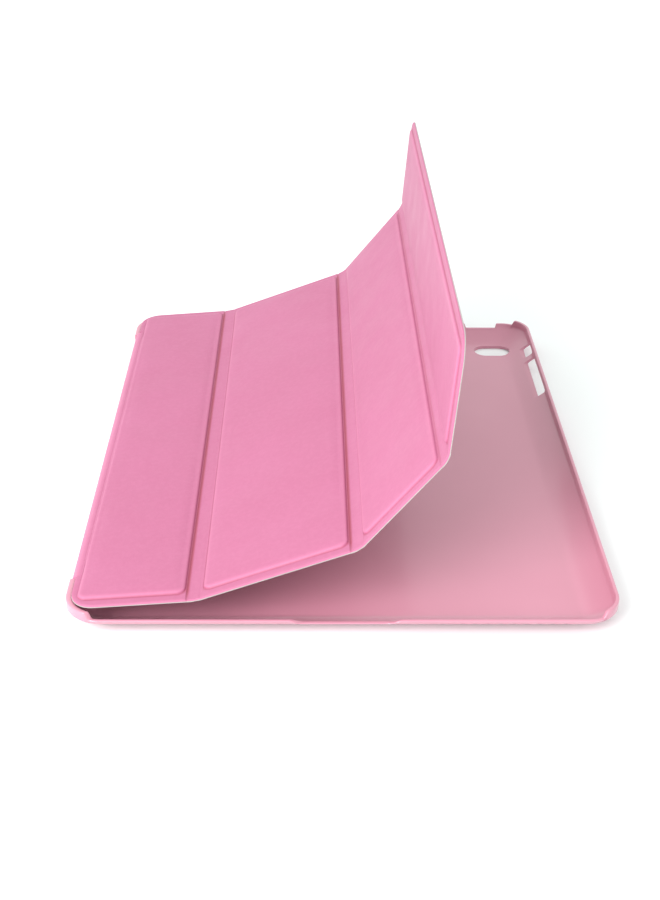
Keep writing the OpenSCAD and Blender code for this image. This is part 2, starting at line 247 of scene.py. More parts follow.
def stack_faces(layers, ns, ny, k):
    """Faces of a body made of a bottom cap, so many rings, and a top cap."""
    border, size = cap_border(ns, ny, k), (ns + 1) * (ny + 1)
    n = len(border)
    faces = []

    def join(first, second):
        for i in range(n):
            j = (i + 1) % n
            corners = [first[i], first[j], second[j], second[i]]
            kept = [c for m, c in enumerate(corners) if c != corners[m - 1]]
            if len(kept) > 2:
                faces.append(kept)

    rings = [[size + layer * n + i for i in range(n)] for layer in range(layers)]
    top = size + layers * n
    join(border, rings[0])
    for a, b in zip(rings, rings[1:]):
        join(a, b)
    join(rings[-1], [top + b for b in border])
    for base in (0, top):
        for i in range(ns):
            for j in range(ny):
                a = base + i * (ny + 1) + j
                faces.append([a, a + 1, a + ny + 2, a + ny + 1])
    return faces


def slab(name, place, top, bottom, marks=None):
    """A closed sheet between two [m, n, 3] arrays of strip coordinates, joined round their borders."""
    m, n = top.shape[:2]
    points = np.concatenate([place(top).reshape(-1, 3), place(bottom).reshape(-1, 3)])
    faces = []
    for base in (0, m * n):
        for i in range(m - 1):
            for j in range(n - 1):
                a = base + i * n + j
                faces.append([a, a + 1, a + n + 1, a + n])
    rim = ([(i, 0) for i in range(m - 1)] + [(m - 1, j) for j in range(n - 1)]
           + [(i, n - 1) for i in range(m - 1, 0, -1)] + [(0, j) for j in range(n - 1, 0, -1)])
    for (i, j), (p, q) in zip(rim, rim[1:] + rim[:1]):
        a, b = i * n + j, p * n + q
        faces.append([a, b, b + m * n, a + m * n])
    doubled = {mark: np.concatenate([v.ravel(), v.ravel()]) for mark, v in (marks or {}).items()}
    return make_piece(name, points, faces, doubled)


def even(n):
    return [i / n for i in range(n + 1)]


def waviness(x, y, size, seed):
    """A gentle unevenness between -1 and 1, with features of a size in millimetres."""
    return np.vectorize(lambda a, b: noise.noise(Vector((a / size, b / size, seed))))(x, y)


# ---------------------------------------------------------------- materials

def new_material(name):
    mat = bpy.data.materials.new(name)
    mat.use_nodes = True
    nodes, links = mat.node_tree.nodes, mat.node_tree.links
    return mat, nodes, links, nodes["Principled BSDF"]


def object_coords(nodes):
    return nodes.new("ShaderNodeTexCoord").outputs["Object"]


def stretched(nodes, links, coords, y_scale):
    """Coordinates that draw a pattern out along the cover."""
    node = nodes.new("ShaderNodeMapping")
    node.inputs["Scale"].default_value = (1.0, y_scale, 1.0)
    links.new(coords, node.inputs["Vector"])
    return node.outputs[0]


def add_noise(nodes, links, coords, scale, detail=3.0, rough=0.55):
    node = nodes.new("ShaderNodeTexNoise")
    node.inputs["Scale"].default_value = scale
    node.inputs["Detail"].default_value = detail
    node.inputs["Roughness"].default_value = rough
    links.new(coords, node.inputs["Vector"])
    return node.outputs["Fac"]


def add_range(nodes, links, value, low, high, new_low, new_high):
    node = nodes.new("ShaderNodeMapRange")
    for key, number in (("From Min", low), ("From Max", high), ("To Min", new_low), ("To Max", new_high)):
        node.inputs[key].default_value = number
    links.new(value, node.inputs["Value"])
    return node.outputs["Result"]


def add_mix(nodes, links, factor, first, second):
    """Mixes two colours, each a colour or a socket, by a factor socket."""
    node = nodes.new("ShaderNodeMix")
    node.data_type = "RGBA"
    links.new(factor, node.inputs["Factor"])
    for key, value in (("A", first), ("B", second)):
        socket = next(s for s in node.inputs if s.name == key and s.type == "RGBA")
        if isinstance(value, tuple):
            socket.default_value = (*value, 1.0)
        else:
            links.new(value, socket)
    return next(s for s in node.outputs if s.type == "RGBA")


def add_product(nodes, links, first, second):
    node = nodes.new("ShaderNodeMath")
    node.operation = "MULTIPLY"
    links.new(first, node.inputs[0])
    links.new(second, node.inputs[1])
    return node.outputs[0]


def add_bump(nodes, links, height, strength, distance, after=None):
    node = nodes.new("ShaderNodeBump")
    node.inputs["Strength"].default_value = strength
    node.inputs["Distance"].default_value = distance
    links.new(height, node.inputs["Height"])
    if after:
        links.new(after, node.inputs["Normal"])
    return node.outputs["Normal"]


def attribute(nodes, name):
    node = nodes.new("ShaderNodeAttribute")
    node.attribute_name = name
    return node.outputs["Fac"]


# Colours, linear
LEATHER = (0.466, 0.142, 0.256)
LEATHER_DEEP = (0.448, 0.133, 0.240)
LEATHER_PALE = (0.61, 0.215, 0.350)
# pressed leather and painted shade in the creases and at the fields' feet
LEATHER_CREASE_SHADE = (0.300, 0.050, 0.078)
MICROFIBRE_DARK = (0.370, 0.338, 0.328)
MICROFIBRE_PALE = (0.440, 0.402, 0.390)
MICROFIBRE_NAP = (0.29, 0.262, 0.252)
PLASTIC_DEEP = (0.563, 0.226, 0.308)
PLASTIC_PALE = (0.582, 0.240, 0.324)
PLASTIC_RIM = (0.68, 0.34, 0.42)
# painted shade inside the speaker slots
PLASTIC_SLOT_SHADE = (0.13, 0.032, 0.050)
BOARD_DARK = (0.15, 0.142, 0.134)
BOARD_PALE = (0.21, 0.20, 0.188)
BOARD_FLECK = (0.34, 0.33, 0.30)
STEEL_DARK = (0.62, 0.61, 0.59)
STEEL_PALE = (0.72, 0.71, 0.69)
FLOOR_TONES = (0.890, 0.94, 0.928), (0.895, 0.945, 0.933)

RIM_WEAR = 3.4  # how far below the rim the plastic starts to pale


def leather_material():
    """Smooth pink leathercloth: fine pebble grain, slow mottling, paler worn ridges, and darker pressed lines
    with painted shade in the creases.
    """
    mat, nodes, links, shader = new_material("pink_leathercloth")
    coords = object_coords(nodes)
    mottle = add_range(nodes, links, add_noise(nodes, links, coords, 28.0, 4.0), 0.34, 0.66, 0.0, 1.0)
    fleck = add_range(nodes, links, add_noise(nodes, links, coords, 520.0, 3.0), 0.42, 0.66, 0.0, 0.10)
    colour = add_mix(nodes, links, mottle, LEATHER_DEEP, LEATHER)
    colour = add_mix(nodes, links, fleck, colour, LEATHER_PALE)
    colour = add_mix(nodes, links, attribute(nodes, "worn"), colour, LEATHER_PALE)
    # pressed lines and creases: darker leather plus painted shade
    colour = add_mix(nodes, links, attribute(nodes, "pressed_and_shade"), colour, LEATHER_CREASE_SHADE)
    links.new(colour, shader.inputs["Base Color"])
    pebble = nodes.new("ShaderNodeTexVoronoi")
    pebble.feature = "SMOOTH_F1"
    pebble.inputs["Scale"].default_value = 1150.0
    pebble.inputs["Smoothness"].default_value = 0.55
    links.new(coords, pebble.inputs["Vector"])
    creases = add_noise(nodes, links, coords, 260.0, 5.0, 0.6)
    normal = add_bump(nodes, links, pebble.outputs["Distance"], 0.14, 0.00015)
    normal = add_bump(nodes, links, creases, 0.05, 0.0003, normal)
    links.new(normal, shader.inputs["Normal"])
    rough = add_range(nodes, links, add_noise(nodes, links, coords, 60.0, 3.0), 0.3, 0.7, 0.46, 0.58)
    links.new(rough, shader.inputs["Roughness"])
    shader.inputs["Specular IOR Level"].default_value = 0.30
    shader.inputs["Sheen Weight"].default_value = 0.07
    shader.inputs["Sheen Roughness"].default_value = 0.42
    shader.inputs["Sheen Tint"].default_value = (1.0, 0.80, 0.90, 1.0)
    return mat


def microfibre_material():
    """Brushed grey-beige microfibre, with a short nap and slow streaks where it was stroked."""
    mat, nodes, links, shader = new_material("microfibre")
    coords = object_coords(nodes)
    stroked = stretched(nodes, links, coords, 0.22)
    streak = add_range(nodes, links, add_noise(nodes, links, stroked, 90.0, 4.0), 0.35, 0.65, 0.0, 1.0)
    nap = add_noise(nodes, links, coords, 2600.0, 2.0, 0.7)
    colour = add_mix(nodes, links, streak, MICROFIBRE_DARK, MICROFIBRE_PALE)
    colour = add_mix(nodes, links, add_range(nodes, links, nap, 0.35, 0.7, 0.0, 0.45), colour, MICROFIBRE_NAP)
    links.new(colour, shader.inputs["Base Color"])
    fibres = add_noise(nodes, links, stroked, 3200.0, 2.0, 0.6)
    normal = add_bump(nodes, links, fibres, 0.35, 0.00025)
    links.new(add_bump(nodes, links, nap, 0.25, 0.0002, normal), shader.inputs["Normal"])
    links.new(add_range(nodes, links, streak, 0.0, 1.0, 0.86, 0.97), shader.inputs["Roughness"])
    shader.inputs["Specular IOR Level"].default_value = 0.2
    shader.inputs["Sheen Weight"].default_value = 0.15
    shader.inputs["Sheen Roughness"].default_value = 0.55
    shader.inputs["Sheen Tint"].default_value = (1.0, 0.96, 0.93, 1.0)
    return mat


def plastic_material():
    """Glossy pink polycarbonate: a faint flow pattern, a slow haze, a paler worn rim, and painted shade in
    the speaker slots.
    """
    mat, nodes, links, shader = new_material("pink_polycarbonate")
    coords = object_coords(nodes)
    flow = add_range(nodes, links, add_noise(nodes, links, coords, 18.0, 2.0), 0.35, 0.65, 0.0, 1.0)
    colour = add_mix(nodes, links, flow, PLASTIC_DEEP, PLASTIC_PALE)
    height = nodes.new("ShaderNodeSeparateXYZ")
    links.new(coords, height.inputs[0])
    rim = add_range(nodes, links, height.outputs["Z"], (RIM_Z - RIM_WEAR) * MM, RIM_Z * MM, 0.0, 0.22)
    haze = add_noise(nodes, links, coords, 40.0, 2.0)
    rub = add_range(nodes, links, haze, 0.40, 0.60, 0.25, 1.0)
    colour = add_mix(nodes, links, add_product(nodes, links, rim, rub), colour, PLASTIC_RIM)
    # painted shade: the speaker slots' cut faces are darkened
    colour = add_mix(nodes, links, attribute(nodes, "slot_shade"), colour, PLASTIC_SLOT_SHADE)
    links.new(colour, shader.inputs["Base Color"])
    links.new(add_range(nodes, links, haze, 0.0, 1.0, 0.25, 0.35), shader.inputs["Roughness"])
    moulded = add_noise(nodes, links, coords, 70.0, 1.0)
    links.new(add_bump(nodes, links, moulded, 0.02, 0.0002), shader.inputs["Normal"])
    shader.inputs["IOR"].default_value = 1.58
    shader.inputs["Coat Weight"].default_value = 0.25
    shader.inputs["Coat Roughness"].default_value = 0.12
    return mat


def board_material():
    """Pressed grey fibreboard with light and dark flecks."""
    mat, nodes, links, shader = new_material("fibreboard")
    coords = object_coords(nodes)
    pulp = add_noise(nodes, links, coords, 700.0, 5.0, 0.7)
    cloud = add_range(nodes, links, add_noise(nodes, links, coords, 45.0, 3.0), 0.3, 0.7, 0.0, 1.0)
    colour = add_mix(nodes, links, cloud, BOARD_DARK, BOARD_PALE)
    colour = add_mix(nodes, links, add_range(nodes, links, pulp, 0.5, 0.68, 0.0, 0.7), colour, BOARD_FLECK)
    links.new(colour, shader.inputs["Base Color"])
    links.new(add_bump(nodes, links, pulp, 0.3, 0.0002), shader.inputs["Normal"])
    links.new(add_range(nodes, links, pulp, 0.3, 0.7, 0.78, 0.95), shader.inputs["Roughness"])
    return mat


def steel_material():
    """Nickel-plated steel, brushed along the cover."""
    mat, nodes, links, shader = new_material("nickel_steel")
    coords = object_coords(nodes)
    brush = add_noise(nodes, links, stretched(nodes, links, coords, 0.03), 2500.0, 3.0, 0.6)
    stain = add_range(nodes, links, add_noise(nodes, links, coords, 120.0, 3.0), 0.35, 0.7, 0.0, 1.0)
    links.new(add_mix(nodes, links, stain, STEEL_DARK, STEEL_PALE), shader.inputs["Base Color"])
    links.new(add_range(nodes, links, brush, 0.3, 0.7, 0.26, 0.44), shader.inputs["Roughness"])
    links.new(add_bump(nodes, links, brush, 0.12, 0.0001), shader.inputs["Normal"])
    shader.inputs["Metallic"].default_value = 1.0
    return mat


MATERIAL = {
    "pink_leather": leather_material(),
    "microfibre": microfibre_material(),
    "shell_plastic": plastic_material(),
    "board": board_material(),
    "magnet_steel": steel_material(),
}


def dress(obj, slot, *nodes):
    """Gives a piece the material named by a slot, and hides the CAD nodes that it stands for."""
    obj.data.materials.clear()
    obj.data.materials.append(MATERIAL[slot])
    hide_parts(*nodes)
    return obj


# ---------------------------------------------------------------- cover panels

# Height of the leather over the board's edge: (distance inside the field's outline, t, worn, pressed line and
# painted shade)
FIELD_EDGE = [
    (0.00, 0.50, 0.0, 0.50), (0.08, 0.55, 0.0, 0.45), (0.18, 0.70, 0.0, 0.30), (0.28, 0.89, 0.05, 0.12),
    (0.42, 1.06, 0.20, 0.0), (0.62, 1.22, 0.35, 0.0), (0.90, 1.345, 0.32, 0.0), (1.30, 1.42, 0.18, 0.0),
    (1.90, FIELD_TOP, 0.05, 0.0), (2.80, FIELD_TOP + 0.02, 0.0, 0.0),
]
# The cut edge of the leather: (distance inside the outline, t, worn)
CUT_EDGE = [(0.0, SKIN_LOW, 0.0), (0.0, 0.25, 0.08), (0.1, 0.45, 0.15), (0.35, SKIN_TOP, 0.12)]
# The flat leather between the cut edge and the field: (distance inside the cut edge, t)
EDGE_FLAT = [(0.75, 0.57), (1.4, SKIN_TOP), (3.2, 0.545)]
CORNER_K = 8
# How dark the crease at each panel's end is drawn, as pressed leather and painted shade. PLAIN_MARK leaves
# the field's side there as it is.
CREASE_MARK = [0.50, 0.50, 0.18, 0.0]
PLAIN_MARK = 0.35
NOTCH_HALF = SPINE_HALF + 0.1
# The first panel's padding beside the hinge: its height at the field's outline, its rise inside that, the
# distance over which it rises, and the length over which it fades out towards the ears
PAD_BASE, PAD_RISE, PAD_W, PAD_FADE = 0.42, 0.43, 1.3, 8.0


def panel_outline(i):
    """(start, stop, corner radius at each, is the start free, is the end free) of panel i."""
    free_start, free_end = i == 0, i == 3
    start = EAR_IN if free_start else HALF_STRIP
    stop = WIDTH[i] - (0.0 if free_end else HALF_STRIP + CREASE_W)
    return (start, stop, COVER_R - EAR_IN if free_start else 0.0, COVER_R if free_end else 0.0,
            free_start, free_end)


def panel_field(i):
    """(start, stop, half length) of the raised field over the board of panel i."""
    start, stop, _, _, free_start, free_end = panel_outline(i)
    return (SPINE_R + HINGE_EDGE_W if free_start else start + CREASE_SHIFT,
            stop - (EDGE_W if free_end else CREASE_SHIFT), COVER_HALF - EDGE_W)


def panel_divisions(i):
    """Fractions at which a panel is divided across and along; the first has a step beside each ear."""
    f0, f1, _ = panel_field(i)
    along = even(64)
    if i == 0:
        straight = COVER_HALF - COVER_R + EAR_IN
        ears = [(side * (NOTCH_HALF + gap) / straight + 1) / 2 for side in (-1, 1) for gap in (-0.1, 0.1)]
        along = sorted([f for f in along if min(abs(f - e) for e in ears) > 0.006] + ears)
    return even(max(8, round((f1 - f0) / 3))), along


def panel_rings(i):
    """Functions that give the panel's outline and its field's outline, so far inside them."""
    start, stop, r0, r1, free_start, free_end = panel_outline(i)
    f0, f1, half = panel_field(i)
    across, along = panel_divisions(i)

    def outline(inset):
        plan = ring(start + inset * free_start, stop - inset * free_end, COVER_HALF - inset,
                    r0 - inset * free_start, r1 - inset * free_end, across, along, CORNER_K)
        if free_start:
            beside_hinge = (plan[:, 0] < SPINE_R) & (np.abs(plan[:, 1]) < NOTCH_HALF)
            plan[beside_hinge, 0] = SPINE_R
        return plan

    def field(inset):
        r = BOARD_R - inset
        return ring(f0 + inset, f1 - inset, half - inset, r, r, across, along, CORNER_K)
    return outline, field


def panel_middle(i):
    """The grid of points inside the field of panel i."""
    f0, f1, half = panel_field(i)
    return cap(f0 + CAP_INSET, f1 - CAP_INSET, half - CAP_INSET, *panel_divisions(i)).reshape(-1, 2)


def panel_mesh(name, i, flat, marks=None):
    """A closed piece from panel i's layers of (s, y, t) rows: a middle, its rings, and a middle."""
    across, along = panel_divisions(i)
    faces = stack_faces(len(flat) - 2, len(across) - 1, len(along) - 1, CORNER_K)
    return make_piece(name, at_fold(FOLD[i], HEADING[i])(np.concatenate(flat)), faces, marks)


def at_height(plan, t):
    """(s, y, t) rows of a plan at one height, or at a height for each point."""
    return np.column_stack([plan, np.broadcast_to(t, len(plan))])


def on_free_edge(i, plan):
    """1 where a point of the outline is on the cover's own edge, and 0 where the next strip joins it."""
    _, stop, _, _, free_start, free_end = panel_outline(i)
    free = np.abs(plan[:, 1]) > COVER_HALF - NEAR
    if free_end:
        free |= plan[:, 0] > stop - NEAR
    if free_start:
        free |= (plan[:, 0] < SPINE_R) & (np.abs(plan[:, 1]) > NOTCH_HALF)
    return free.astype(float)


def leather_panel(i):
    """The leather over a panel's board: hollow below, padded above, with a crease at the panel's end."""
    f0, f1, half = panel_field(i)
    outline, field = panel_rings(i)
    flat, worn, pressed_and_shade = [], [], []

    def add(plan, t, w=0.0, p=0.0):
        flat.append(at_height(plan, t))
        worn.append(np.broadcast_to(w, len(plan)))
        pressed_and_shade.append(np.broadcast_to(p, len(plan)))

    inner = panel_middle(i)
    add(inner, BOARD_TOP)
    add(field(1.2), BOARD_TOP)
    add(field(0.33), BOARD_TOP)
    add(field(0.25), SKIN_LOW)
    for inset, t, w in CUT_EDGE:
        plan = outline(inset)
        free = on_free_edge(i, plan)
        # painted crease shade along the outline towards the next fold
        add(plan, t, w * free, CREASE_MARK[i] * (1 - free) * (plan[:, 0] > (f0 + f1) / 2))
    rim, base = outline(CUT_EDGE[-1][0]), field(0.0)
    gap = np.linalg.norm(base - rim, axis=1)
    # painted crease shade on the flat leather before the next fold
    creased = CREASE_MARK[i] * (gap < NEAR) * (rim[:, 0] > (f0 + f1) / 2)
    padded, side = np.zeros(len(base)), np.ones(len(base))
    if i < 3:
        side[base[:, 0] > f1 - NEAR] = CREASE_MARK[i] / PLAIN_MARK
    if i == 0:
        beside_hinge = base[:, 0] < f0 + NEAR
        padded = beside_hinge * smooth_step((NOTCH_HALF - np.abs(base[:, 1])) / PAD_FADE)
        side[beside_hinge] = 0.0
    for inset, t in EDGE_FLAT:
        share = np.minimum(inset / np.maximum(gap, 1e-6), 0.9 + inset / 100)[:, None]
        lifted = np.maximum(t, SKIN_TOP + PAD_BASE * padded * smooth_step(share[:, 0]))
        add(rim * (1 - share) + base * share, lifted, 0.0, creased)
    for inset, t, w, p in FIELD_EDGE:
        lifted = np.maximum(t, padded * (SKIN_TOP + PAD_BASE + PAD_RISE * smooth_step(inset / PAD_W)))
        # the field's foot is darkened: pressed line plus painted shade
        add(field(inset), lifted, w * (1 - 0.6 * padded), p * side)
    u = 2 * (inner[:, 0] - f0) / (f1 - f0) - 1
    v = inner[:, 1] / half
    crown = FIELD_CROWN * (1 - u ** 4) * (1 - v ** 8)
    add(inner, FIELD_TOP + 0.02 + crown + FIELD_WAVE * waviness(inner[:, 0], inner[:, 1], 23.0, i + 0.5))

    obj = panel_mesh(f"leather_panel_{i + 1}", i, flat,
                     {"worn": np.concatenate(worn), "pressed_and_shade": np.concatenate(pressed_and_shade)})
    return dress(obj, "pink_leather", f"panel_{i + 1}_skin")


def lining_panel(i):
    """The microfibre under a panel, a little proud of the leather's cut edge, pressed in round the board."""
    outline, field = panel_rings(i)
    inner = panel_middle(i)
    layers = [(inner, LINING_LOW + 0.02 * waviness(inner[:, 0], inner[:, 1], 17.0, i + 7.5)),
              (field(1.6), LINING_LOW), (field(0.9), LINING_LOW + 0.02), (field(0.3), LINING_LOW + 0.09),
              (field(0.0), LINING_EDGE), (outline(0.3), LINING_EDGE), (outline(0.0), LINING_LOW + 0.15),
              (outline(-LINING_PROUD), LINING_LOW + 0.24), (outline(-LINING_PROUD), LINING_TOP - 0.10),
              (outline(0.0), LINING_TOP), (field(1.0), LINING_TOP), (inner, LINING_TOP)]
    obj = panel_mesh(f"lining_panel_{i + 1}", i, [at_height(plan, t) for plan, t in layers])
    return dress(obj, "microfibre", f"panel_{i + 1}_lining")


# ---------------------------------------------------------------- soft folds, hinge bends and spine

# The rounded end of a strip: (distance inside the end, how far the leather is lowered there)
STRIP_END = [(0.0, 0.30), (0.1, 0.10), (0.35, 0.0)]
# At folds 1 to 3: the crease's depth, and how dark it is drawn, as pressed leather and painted shade
FOLD_DEPTH = (0.26, 0.26, 0.16)
FOLD_MARK = (0.85, 0.85, 0.30)


def strip_rows(half, n=56):
    """y values of a strip's rows, and how far the leather's top is lowered at each."""
    inset, lowered = (list(column) for column in zip(*STRIP_END))
    middle = list(np.linspace(0.8 - half, half - 0.8, n))
    y = [d - half for d in inset] + middle + [half - d for d in inset[::-1]]
    return np.array(y), np.array(lowered + [0.0] * n + lowered[::-1])


def strip(name, place, length, half, low, high, node, slot, top_shape=None, low_shape=None, steps=24,
          arc=1.0, drop_scale=1.0, pressed_and_shade=None, worn=None, start=0.0):
    """A strip of leather or lining, from start to length in s. arc turns s into place's own units. Its
    pressed marks, darker pressed leather with painted shade, are fainter towards its two ends."""
    y, drop = strip_rows(half)
    s = np.linspace(start, length, steps + 1)
    grid_s, grid_y = np.meshgrid(s, y, indexing="ij")
    top = high + (top_shape(grid_s) if top_shape else 0.0 * grid_s) - drop_scale * drop[None, :]
    bottom = low + (low_shape(grid_s) if low_shape else 0.0 * grid_s)
    fade = 0.25 + 0.75 * smooth_step((half - 0.5 - np.abs(grid_y)) / 3.5)
    # the pressed mark darkens creases: pressed leather plus painted shade
    marks = {"worn": worn(grid_s) if worn else np.where(drop[None, :] > 0.05, 0.15, 0.0) + 0 * grid_s,
             "pressed_and_shade": pressed_and_shade(grid_s) * fade if pressed_and_shade else 0 * grid_s}
    upper = np.stack([grid_s * arc, grid_y, top], axis=-1)
    lower = np.stack([grid_s * arc, grid_y, bottom + 0 * grid_y], axis=-1)
    return dress(slab(name, place, upper, lower, marks), slot, node)


def fold_place(i):
    """Strip coordinates round the soft fold i, whose arc starts half a strip before the fold point. s runs
    along the arc, and below 0 it runs flat, in line with the panel before the fold."""
    bend = HEADING[i] - HEADING[i - 1]
    radius = HALF_STRIP / math.tan(bend / 2)
    turn = at_fold(FOLD[i], HEADING[i - 1])

    def place(p):
        p = np.asarray(p, float)
        a = np.maximum(p[..., 0], 0.0) / radius
        flat = np.minimum(p[..., 0], 0.0)
        r = radius - p[..., 2]
        return turn(np.stack([r * np.sin(a) + flat - HALF_STRIP, p[..., 1], radius - r * np.cos(a)], axis=-1))
    return place, radius * bend


def soft_fold(i):
    """Leather and lining of fold i, fixed in their rest place."""
    place, length = fold_place(i)
    depth, mark = FOLD_DEPTH[i - 1], FOLD_MARK[i - 1]

    def creased(s):
        return (-depth * hump((s + 0.40) / 0.60) - 0.3 * depth * hump((length - s - 0.7) / 0.7)
                + 0.05 * np.sin(math.pi * np.maximum(s, 0.0) / length) ** 2)

    # painted shade in the fold's crease, over darker pressed leather
    def pressed_and_shade(s):
        return mark * hump((s + 0.60) / 1.15) + 0.10 * hump((length - s) / 0.6)

    def lifted(s):
        return 0.12 * hump((s / length - 0.5) / 0.3)

    skin = strip(f"leather_fold_{i}", place, length, COVER_HALF, SKIN_LOW, SKIN_TOP, f"fold_{i}_skin",
                 "pink_leather", creased, steps=36, pressed_and_shade=pressed_and_shade, start=-CREASE_W)
    lining = strip(f"lining_fold_{i}", place, length, COVER_HALF, LINING_EDGE, LINING_TOP,
                   f"fold_{i}_lining", "microfibre", low_shape=lifted, drop_scale=0.0, start=-CREASE_W)
    a, b = (Vector(place((s, 0.0, 0.0)) * MM) for s in (0.0, length))
    for obj in (skin, lining):
        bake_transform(obj)
    return skin, lining


def spine_pieces():
    """Everything between the shell and the first panel."""
    bend = 90 - math.degrees(HEADING[0])
    radius = SPINE_R / math.tan(math.radians(bend / 2))
    centre = (SPINE_X + radius, SPINE_Z1 - SPINE_R)
    over = round_bend(centre, radius, 180, -1)
    per_mm = math.degrees(1 / radius)
    length = bend / per_mm
    top = strip("leather_hinge_top", over, length, SPINE_HALF, SKIN_LOW, SKIN_TOP, "hinge_top_skin",
                "pink_leather", arc=per_mm, top_shape=lambda s: SPINE_BULGE * (1 - smooth_step(s / length)),
                # painted shade where the hinge meets the first panel
                pressed_and_shade=lambda s: 0.12 * hump((length - s) / 0.5),
                worn=lambda s: 0.45 * hump((s - 0.45 * length) / (0.5 * length)))
    top_lining = strip("lining_hinge_top", over, length, SPINE_HALF, LINING_EDGE, LINING_TOP,
                       "hinge_top_lining", "microfibre", arc=per_mm, drop_scale=0.0)
    ends = [Vector(over(np.array([a, 0.0, 0.0])) * MM) for a in (0.0, bend)]
    for obj in (top, top_lining):
        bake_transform(obj)

    low_z, high_z = SPINE_Z0 + SPINE_R, SPINE_Z1 - SPINE_R
    up = at_fold((SPINE_X, low_z), math.pi / 2)
    height = high_z - low_z
    raised = STIFFENER_TOP - SKIN_LOW

    def outside(s):
        """The leather's face over the stiffener, swelling towards the hinge above."""
        return ((raised + 0.02) * smooth_step(np.minimum(s, height - s) / 0.9)
                + SPINE_BULGE * smooth_step(s / 2.2))

    def inside(s):
        return raised * smooth_step(np.minimum(s, height - s) / 0.19)

    skin = strip("leather_spine", up, height, SPINE_HALF, SKIN_LOW, SKIN_TOP, "spine_skin", "pink_leather",
                 top_shape=outside, low_shape=inside, steps=60)
    lining = strip("lining_spine", up, height, SPINE_HALF, LINING_EDGE, LINING_TOP, "spine_lining",
                   "microfibre", drop_scale=0.0)
    for obj in (skin, lining):
        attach(obj, "spine")

    under = round_bend((LEDGE_X, low_z), SPINE_R, 270, -1)
    quarter = math.degrees(1 / SPINE_R)
    low = strip("leather_hinge_low", under, 90 / quarter, TAB_HALF, SKIN_LOW, SKIN_TOP, "hinge_low_skin",
                "pink_leather", arc=quarter)
    ends = [Vector(under(np.array([a, 0.0, 0.0])) * MM) for a in (0.0, 90.0)]
    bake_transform(low)

    flat = at_fold((LEDGE_X, FLOOR), 0.0)
    tab = strip("leather_tab", flat, TAB_W, TAB_HALF, -0.6, 0.0, "spine_tab", "pink_leather",
                top_shape=lambda s: -0.3 * hump((TAB_W - s) / 0.35), steps=90, drop_scale=0.8)
    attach(tab, "shell")
    return top, top_lining, skin, lining, low, tab


# ---------------------------------------------------------------- back shell

SWEEP_R, SWEEP_A, SWEEP_IN = 30.0, 13.0, 13.2
BAY_SWEEP_R, BAY_SWEEP_IN, BAY_SWEEP_Z = 26.7, 18.87, 27.17
CORNER_STEPS = 30
MIN_R = 1.5
MIDDLE_IN = 19.0  # how far inside the outer wall the grid of the floor's middle starts
RIM_FILLET = 0.34
# The rounded rim: (share of the way from the outer wall to the inner, depth below the rim)
RIM_PROFILE = [(0.05, 0.19), (0.16, 0.05), (0.32, 0.0), (0.68, 0.0), (0.84, 0.05), (0.95, 0.19)]
# Heights above which the outer and the inner wall follow the rim down
OUT_FIT_Z, IN_FIT_Z = 4.4, 4.6


def under_z(inset):
    """Height of the swept underside, so far inside the outer wall."""
    sine = np.clip(math.sin(math.radians(SWEEP_A)) + (SWEEP_IN - inset) / SWEEP_R, 0, 1)
    z = SWEEP_R * (math.cos(math.radians(SWEEP_A)) - np.sqrt(1 - sine ** 2))
    return np.where(inset >= SWEEP_IN, 0.0, z)


def bay_z(inset):
    """Height of the bay's swept floor, so far inside the outer wall."""
    run = BAY_SWEEP_IN - np.minimum(inset, BAY_SWEEP_IN)
    return np.maximum(BAY_SWEEP_Z - np.sqrt(np.clip(BAY_SWEEP_R ** 2 - run ** 2, 0, None)), FLOOR)


def dip(x, low, high, slope):
    """0 outside low to high and 1 well inside, with a slope at each end."""
    return smooth_step((x - low) / slope) * smooth_step((high - x) / slope)


def rim_height(x, y):
    """Height of the rim at a place on the outline: corner lips, low short walls, dock and power-key dips."""
    z = np.full(len(x), float(RIM_Z))
    short = np.abs(y) > SHELL_L / 2 - SHELL_R + 0.01
    left, right = LIP_LEFT - SHELL_W / 2, SHELL_W / 2 - LIP_RIGHT
    z -= np.where(short, LOW_DROP * dip(x, left - LIP_SLOPE, right + LIP_SLOPE, LIP_SLOPE), 0.0)
    z -= np.where(short & (y < 0), DOCK_DROP * dip(x, DOCK_X0, DOCK_X1, DOCK_SLOPE), 0.0)
    z -= np.where(short & (y > 0),
                  DOCK_DROP * dip(x, POWER_X - POWER_HALF, POWER_X + POWER_HALF, POWER_SLOPE), 0.0)
    return z


def short_wall_fractions():
    """Divisions of the short walls, closer together where the rim changes height."""
    low, high = SHELL_R - SHELL_W / 2, SHELL_W / 2 - SHELL_R
    knots = [low, DOCK_X0 - 0.5, DOCK_X0 + 5.5, DOCK_X1 - 5.5, DOCK_X1 + 0.5,
             POWER_X - 8.6, POWER_X - 6.6, POWER_X + 6.6, POWER_X + 8.6, high]
    steps = [4.0, 0.6, 3.0, 0.6, 4.0, 0.3, 3.0, 0.3, 1.0]
    x = [low]
    for a, b, step in zip(knots, knots[1:], steps):
        n = max(1, round((b - a) / step))
        x += [a + (b - a) * (i + 1) / n for i in range(n)]
    return [(v - low) / (high - low) for v in x]


def fitted(plans, levels, start, rim):
    """The rings of a wall. Above start they follow the rim down where it is low, along the wall's profile."""
    order = np.argsort(levels, kind="stable")
    table, column = plans[order], np.arange(len(rim))
    heights = levels[order] + np.arange(len(levels)) * 1e-7  # apart, so that no step between two is zero
    rings = []
    for plan, level in zip(plans, levels):
        if level <= start:
            rings.append(at_height(plan, level))
            continue
        z = start + (level - start) * (rim - RIM_FILLET - start) / (RIM_Z - RIM_FILLET - start)
        at = np.clip(np.searchsorted(heights, z) - 1, 0, len(heights) - 2)
        f = np.clip((z - heights[at]) / np.maximum(heights[at + 1] - heights[at], 1e-9), 0, 1)[:, None]
        rings.append(at_height(table[at, column] * (1 - f) + table[at + 1, column] * f, z))
    return rings


